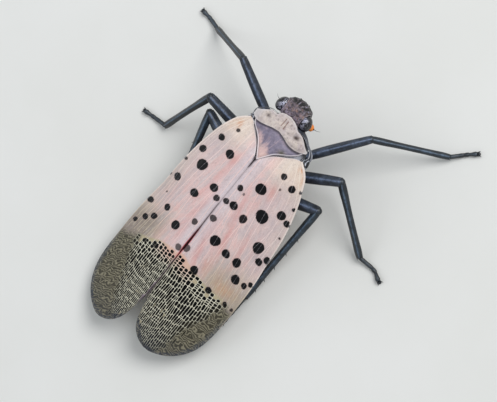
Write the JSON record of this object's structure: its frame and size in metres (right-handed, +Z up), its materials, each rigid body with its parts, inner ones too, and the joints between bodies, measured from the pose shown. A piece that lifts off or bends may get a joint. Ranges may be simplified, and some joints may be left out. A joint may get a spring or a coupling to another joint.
{
  "type": "spotted lanternfly",
  "caption": "Life-size adult spotted lanternfly standing on six legs, with spotted pinkish forewings folded like a roof over red hindwings.",
  "frame": {"origin": "middle of the bounding box's base, on the floor that the feet stand on", "axes": "+Z up, -Y towards the head, +X towards the animal's left"},
  "size_m": [0.0272, 0.0315, 0.0081],
  "materials": {
    "head": "dull wrinkled shell, grey-brown with pale wax",
    "eye": "glossy black with a bluish bloom",
    "antenna": "dull orange knob with fine pits",
    "beak": "smooth black shell",
    "pronotum": "matt waxy beige-grey shell",
    "mesonotum": "matt waxy purple-grey shell",
    "thorax": "dull dark shell dusted with wax",
    "abdomen": "soft yellow rings with black bands",
    "tegula": "matt grey shell scale",
    "forewing": "leathery, pinkish beige with black spots, dull silky sheen",
    "hindwing": "thin crimson, black and white membrane",
    "coxa": "dark slate shell with wax",
    "femur": "dark slate shell with a bluish bloom",
    "tibia": "dark slate shell with fine hairs",
    "tarsus": "near-black shell"
  },
  "bodies": {
    "root": {"head": "head", "eye_left": "eye", "eye_right": "eye", "antenna_left": "antenna", "antenna_right": "antenna", "beak": "beak", "pronotum": "pronotum", "mesonotum": "mesonotum", "thorax": "thorax", "abdomen": "abdomen", "tegula_left": "tegula", "tegula_right": "tegula", "forewing_left": "forewing", "forewing_right": "forewing", "hindwing_left": "hindwing", "hindwing_right": "hindwing", "coxa_fore_left": "coxa", "coxa_fore_right": "coxa", "coxa_mid_left": "coxa", "coxa_mid_right": "coxa", "coxa_hind_left": "coxa", "coxa_hind_right": "coxa", "femur_fore_left": "femur", "femur_fore_right": "femur", "femur_mid_left": "femur", "femur_mid_right": "femur", "femur_hind_left": "femur", "femur_hind_right": "femur", "tibia_fore_left": "tibia", "tibia_fore_right": "tibia", "tibia_mid_left": "tibia", "tibia_mid_right": "tibia", "tibia_hind_left": "tibia", "tibia_hind_right": "tibia", "tarsus_fore_left": "tarsus", "tarsus_fore_right": "tarsus", "tarsus_mid_left": "tarsus", "tarsus_mid_right": "tarsus", "tarsus_hind_left": "tarsus", "tarsus_hind_right": "tarsus"}
  },
  "joints": []
}
